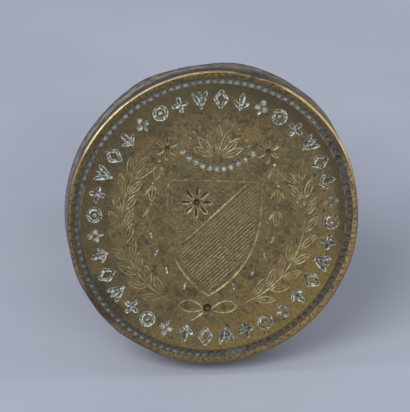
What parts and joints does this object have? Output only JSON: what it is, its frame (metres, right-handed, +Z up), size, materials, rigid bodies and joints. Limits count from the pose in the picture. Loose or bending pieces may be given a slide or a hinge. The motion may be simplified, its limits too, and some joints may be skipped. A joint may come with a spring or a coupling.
{
  "type": "hand seal",
  "caption": "Round brass desk seal with an engraved, bead-bordered face and a turned wooden knob handle that unscrews, lying on its side.",
  "frame": {"origin": "centre of the bounding box's underside, on the floor that the seal lies on", "axes": "+Z up from the floor; -Y is the side that the engraved face looks to and +Y runs towards the knob; the seal's own axis lies in the YZ plane and falls by about 13 degrees from the face to the knob"},
  "size_m": [0.04, 0.0574, 0.0405],
  "materials": {
    "aged_brass": "worn, with dark patina in the engraving",
    "turned_brass": "satin, turned",
    "leather": "oiled, pressed flat",
    "dark_wood": "polished by handling",
    "iron": "dull, lightly oiled"
  },
  "bodies": {
    "head": {"seal_head": "aged_brass", "back_mount": "turned_brass"},
    "washer": {"leather_washer": "leather"},
    "handle": {"ferrule": "turned_brass", "cross_pin": "iron", "handle_knob": "dark_wood", "tie_rod": "iron", "rove": "turned_brass", "cap_nut": "turned_brass", "index_stud": "turned_brass"}
  },
  "joints": [
    {"name": "handle_lift", "type": "slide", "parent": "head", "child": "washer", "axis": [0, 0.9739, -0.2271], "range_m": [0, 0.00701]},
    {"name": "handle_turn", "type": "hinge", "parent": "washer", "child": "handle", "pos_m": [0, -0.00735, 0.01716], "axis": [0, 0.9739, -0.2271], "range_deg": [0, 2520]}
  ],
  "couplings": [
    {"joint": "handle_lift", "follows": "handle_turn", "m_per_rad": 0.00015915}
  ]
}
